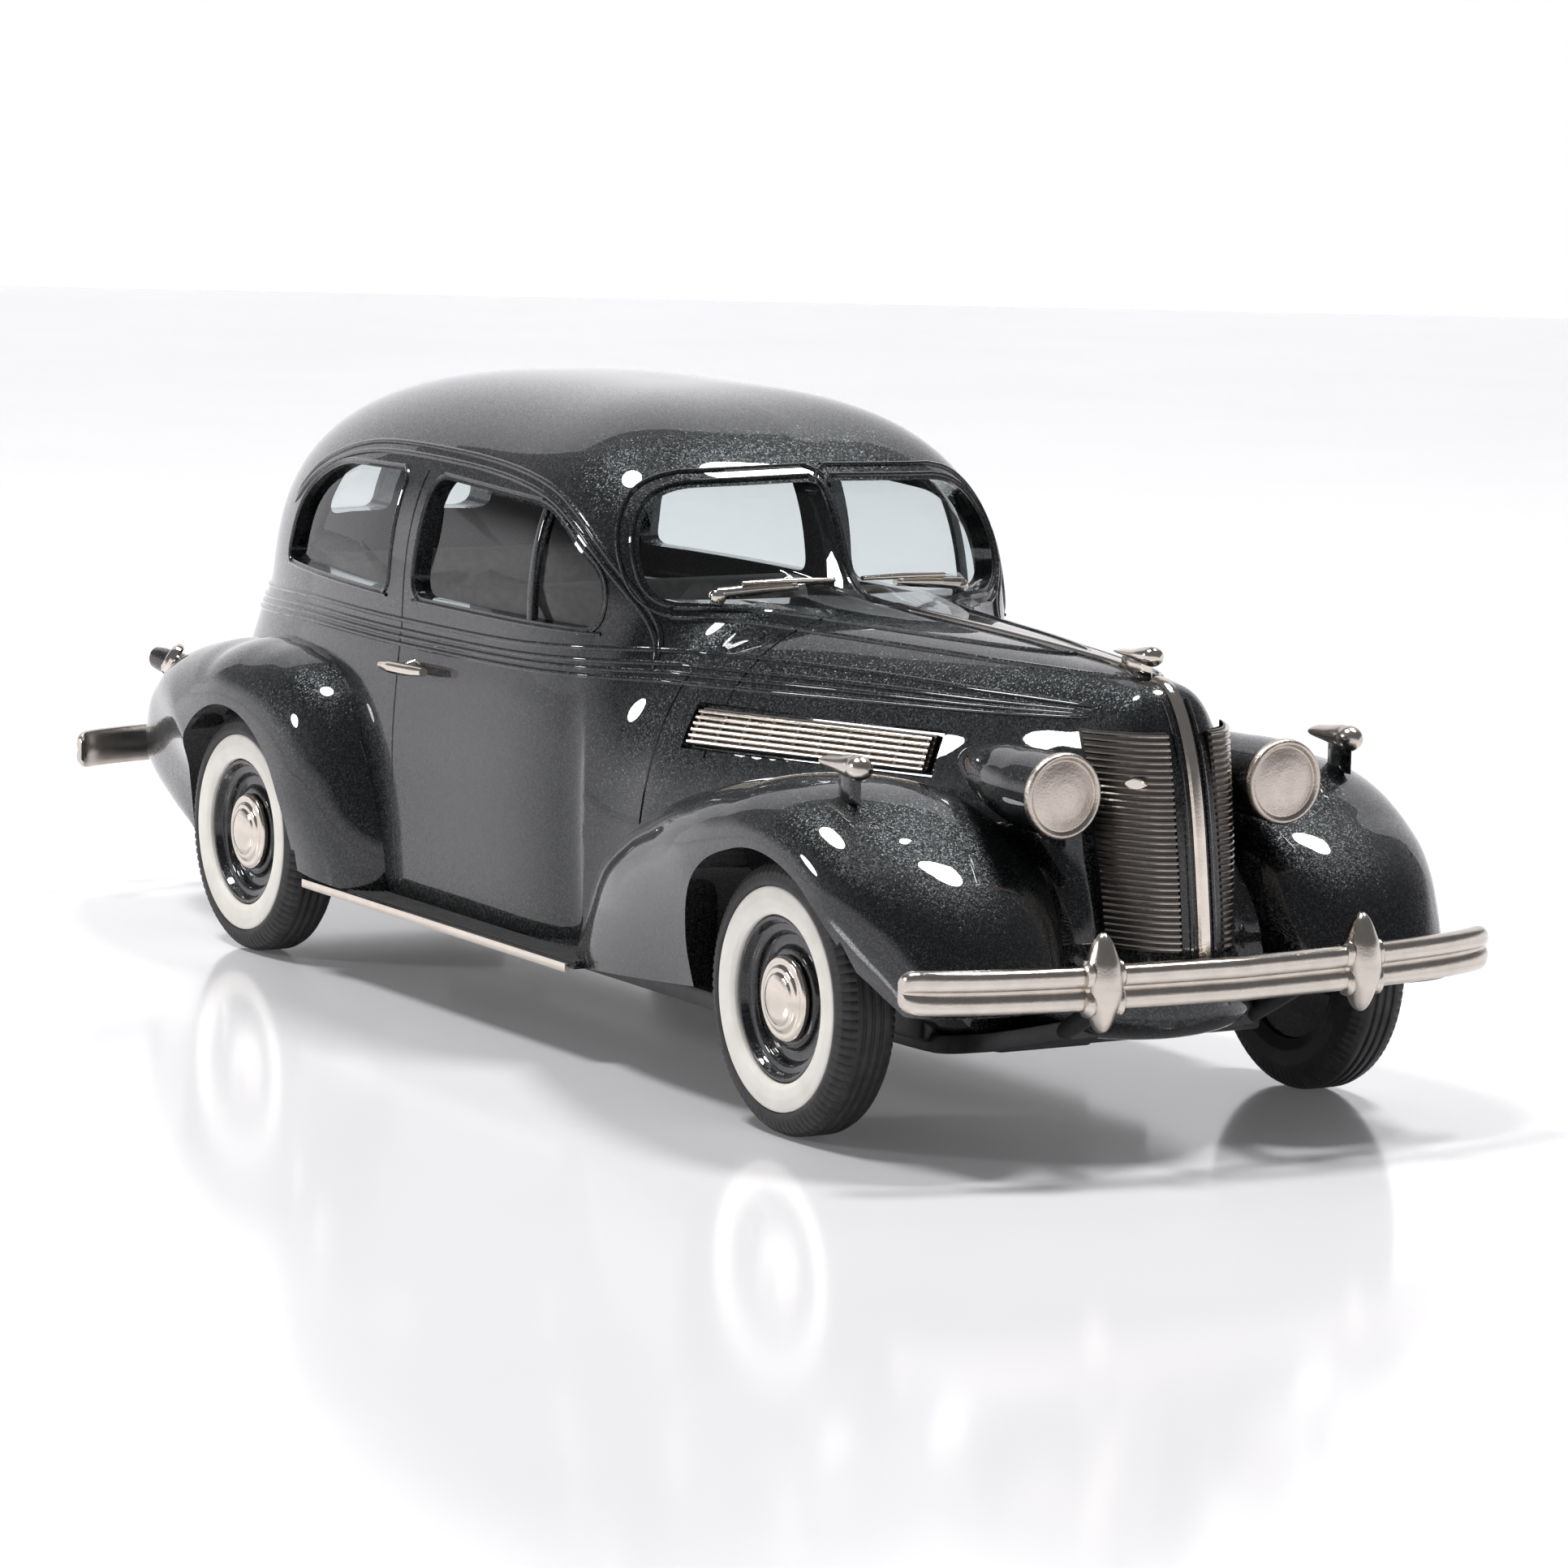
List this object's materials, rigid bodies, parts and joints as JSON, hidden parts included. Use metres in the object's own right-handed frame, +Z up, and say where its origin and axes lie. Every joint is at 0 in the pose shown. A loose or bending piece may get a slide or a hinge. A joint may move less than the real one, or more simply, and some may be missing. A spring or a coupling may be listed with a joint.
{
  "type": "scale model car",
  "caption": "Diecast collector model of a late-1930s two-door sedan: painted cast body on a black base, plated trim, glazing, seats, and wheels with white sidewalls on two free-turning axles.",
  "frame": {"origin": "on the ground under the middle of the car's overall length and width", "axes": "+X towards the car's front, +Y towards its left side, +Z up"},
  "size_m": [0.1218, 0.0428, 0.0402],
  "materials": {
    "paint": "dark charcoal metallic paint under a gloss clear coat",
    "base_black": "satin black",
    "glazing": "clear",
    "upholstery": "matte grey-brown",
    "cream_plastic": "satin cream",
    "red_lens": "clear red paint over plating",
    "tyre": "matte black",
    "white_rubber": "matte ivory",
    "rim_paint": "dark metallic gloss",
    "steel": "drawn steel",
    "nickel": "bright nickel plate, warm tint, slightly pitted"
  },
  "bodies": {
    "car": {"body_shell": "paint", "baseplate": "base_black", "windscreen_right": "glazing", "windscreen_left": "glazing", "door_glass_right": "glazing", "door_glass_left": "glazing", "quarter_glass_right": "glazing", "quarter_glass_left": "glazing", "rear_glass_right": "glazing", "rear_glass_left": "glazing", "interior_tub": "upholstery", "front_seat": "upholstery", "rear_seat": "upholstery", "dashboard": "paint", "steering_column": "paint", "steering_wheel": "cream_plastic", "grille_right": "nickel", "grille_left": "nickel", "nose_strip": "nickel", "hood_strip": "nickel", "hood_ornament": "nickel", "grille_badge": "nickel", "louvre_right": "nickel", "louvre_left": "nickel", "headlamp_right": "nickel", "headlamp_left": "nickel", "fender_lamp_right": "nickel", "fender_lamp_left": "nickel", "wiper_right": "nickel", "wiper_left": "nickel", "door_handle_right": "nickel", "door_handle_left": "nickel", "board_strip_right": "nickel", "board_strip_left": "nickel", "front_bumper": "nickel", "rear_bumper": "nickel", "tail_lamp_right": "red_lens", "tail_lamp_left": "red_lens", "fuel_cap": "nickel", "base_screws": "steel"},
    "front_wheelset": {"front_axle": "steel", "tyre_front_right": "tyre", "tyre_front_left": "tyre", "whitewall_front_right": "white_rubber", "whitewall_front_left": "white_rubber", "rim_front_right": "rim_paint", "rim_front_left": "rim_paint", "hubcap_front_right": "nickel", "hubcap_front_left": "nickel"},
    "rear_wheelset": {"rear_axle": "steel", "tyre_rear_right": "tyre", "tyre_rear_left": "tyre", "whitewall_rear_right": "white_rubber", "whitewall_rear_left": "white_rubber", "rim_rear_right": "rim_paint", "rim_rear_left": "rim_paint", "hubcap_rear_right": "nickel", "hubcap_rear_left": "nickel"}
  },
  "joints": [
    {"name": "front_axle_spin", "type": "hinge", "parent": "car", "child": "front_wheelset", "pos_m": [0.0415, 0, 0.00815], "axis": [0, 1, 0], "continuous": true},
    {"name": "rear_axle_spin", "type": "hinge", "parent": "car", "child": "rear_wheelset", "pos_m": [-0.0305, 0, 0.00815], "axis": [0, 1, 0], "continuous": true}
  ]
}
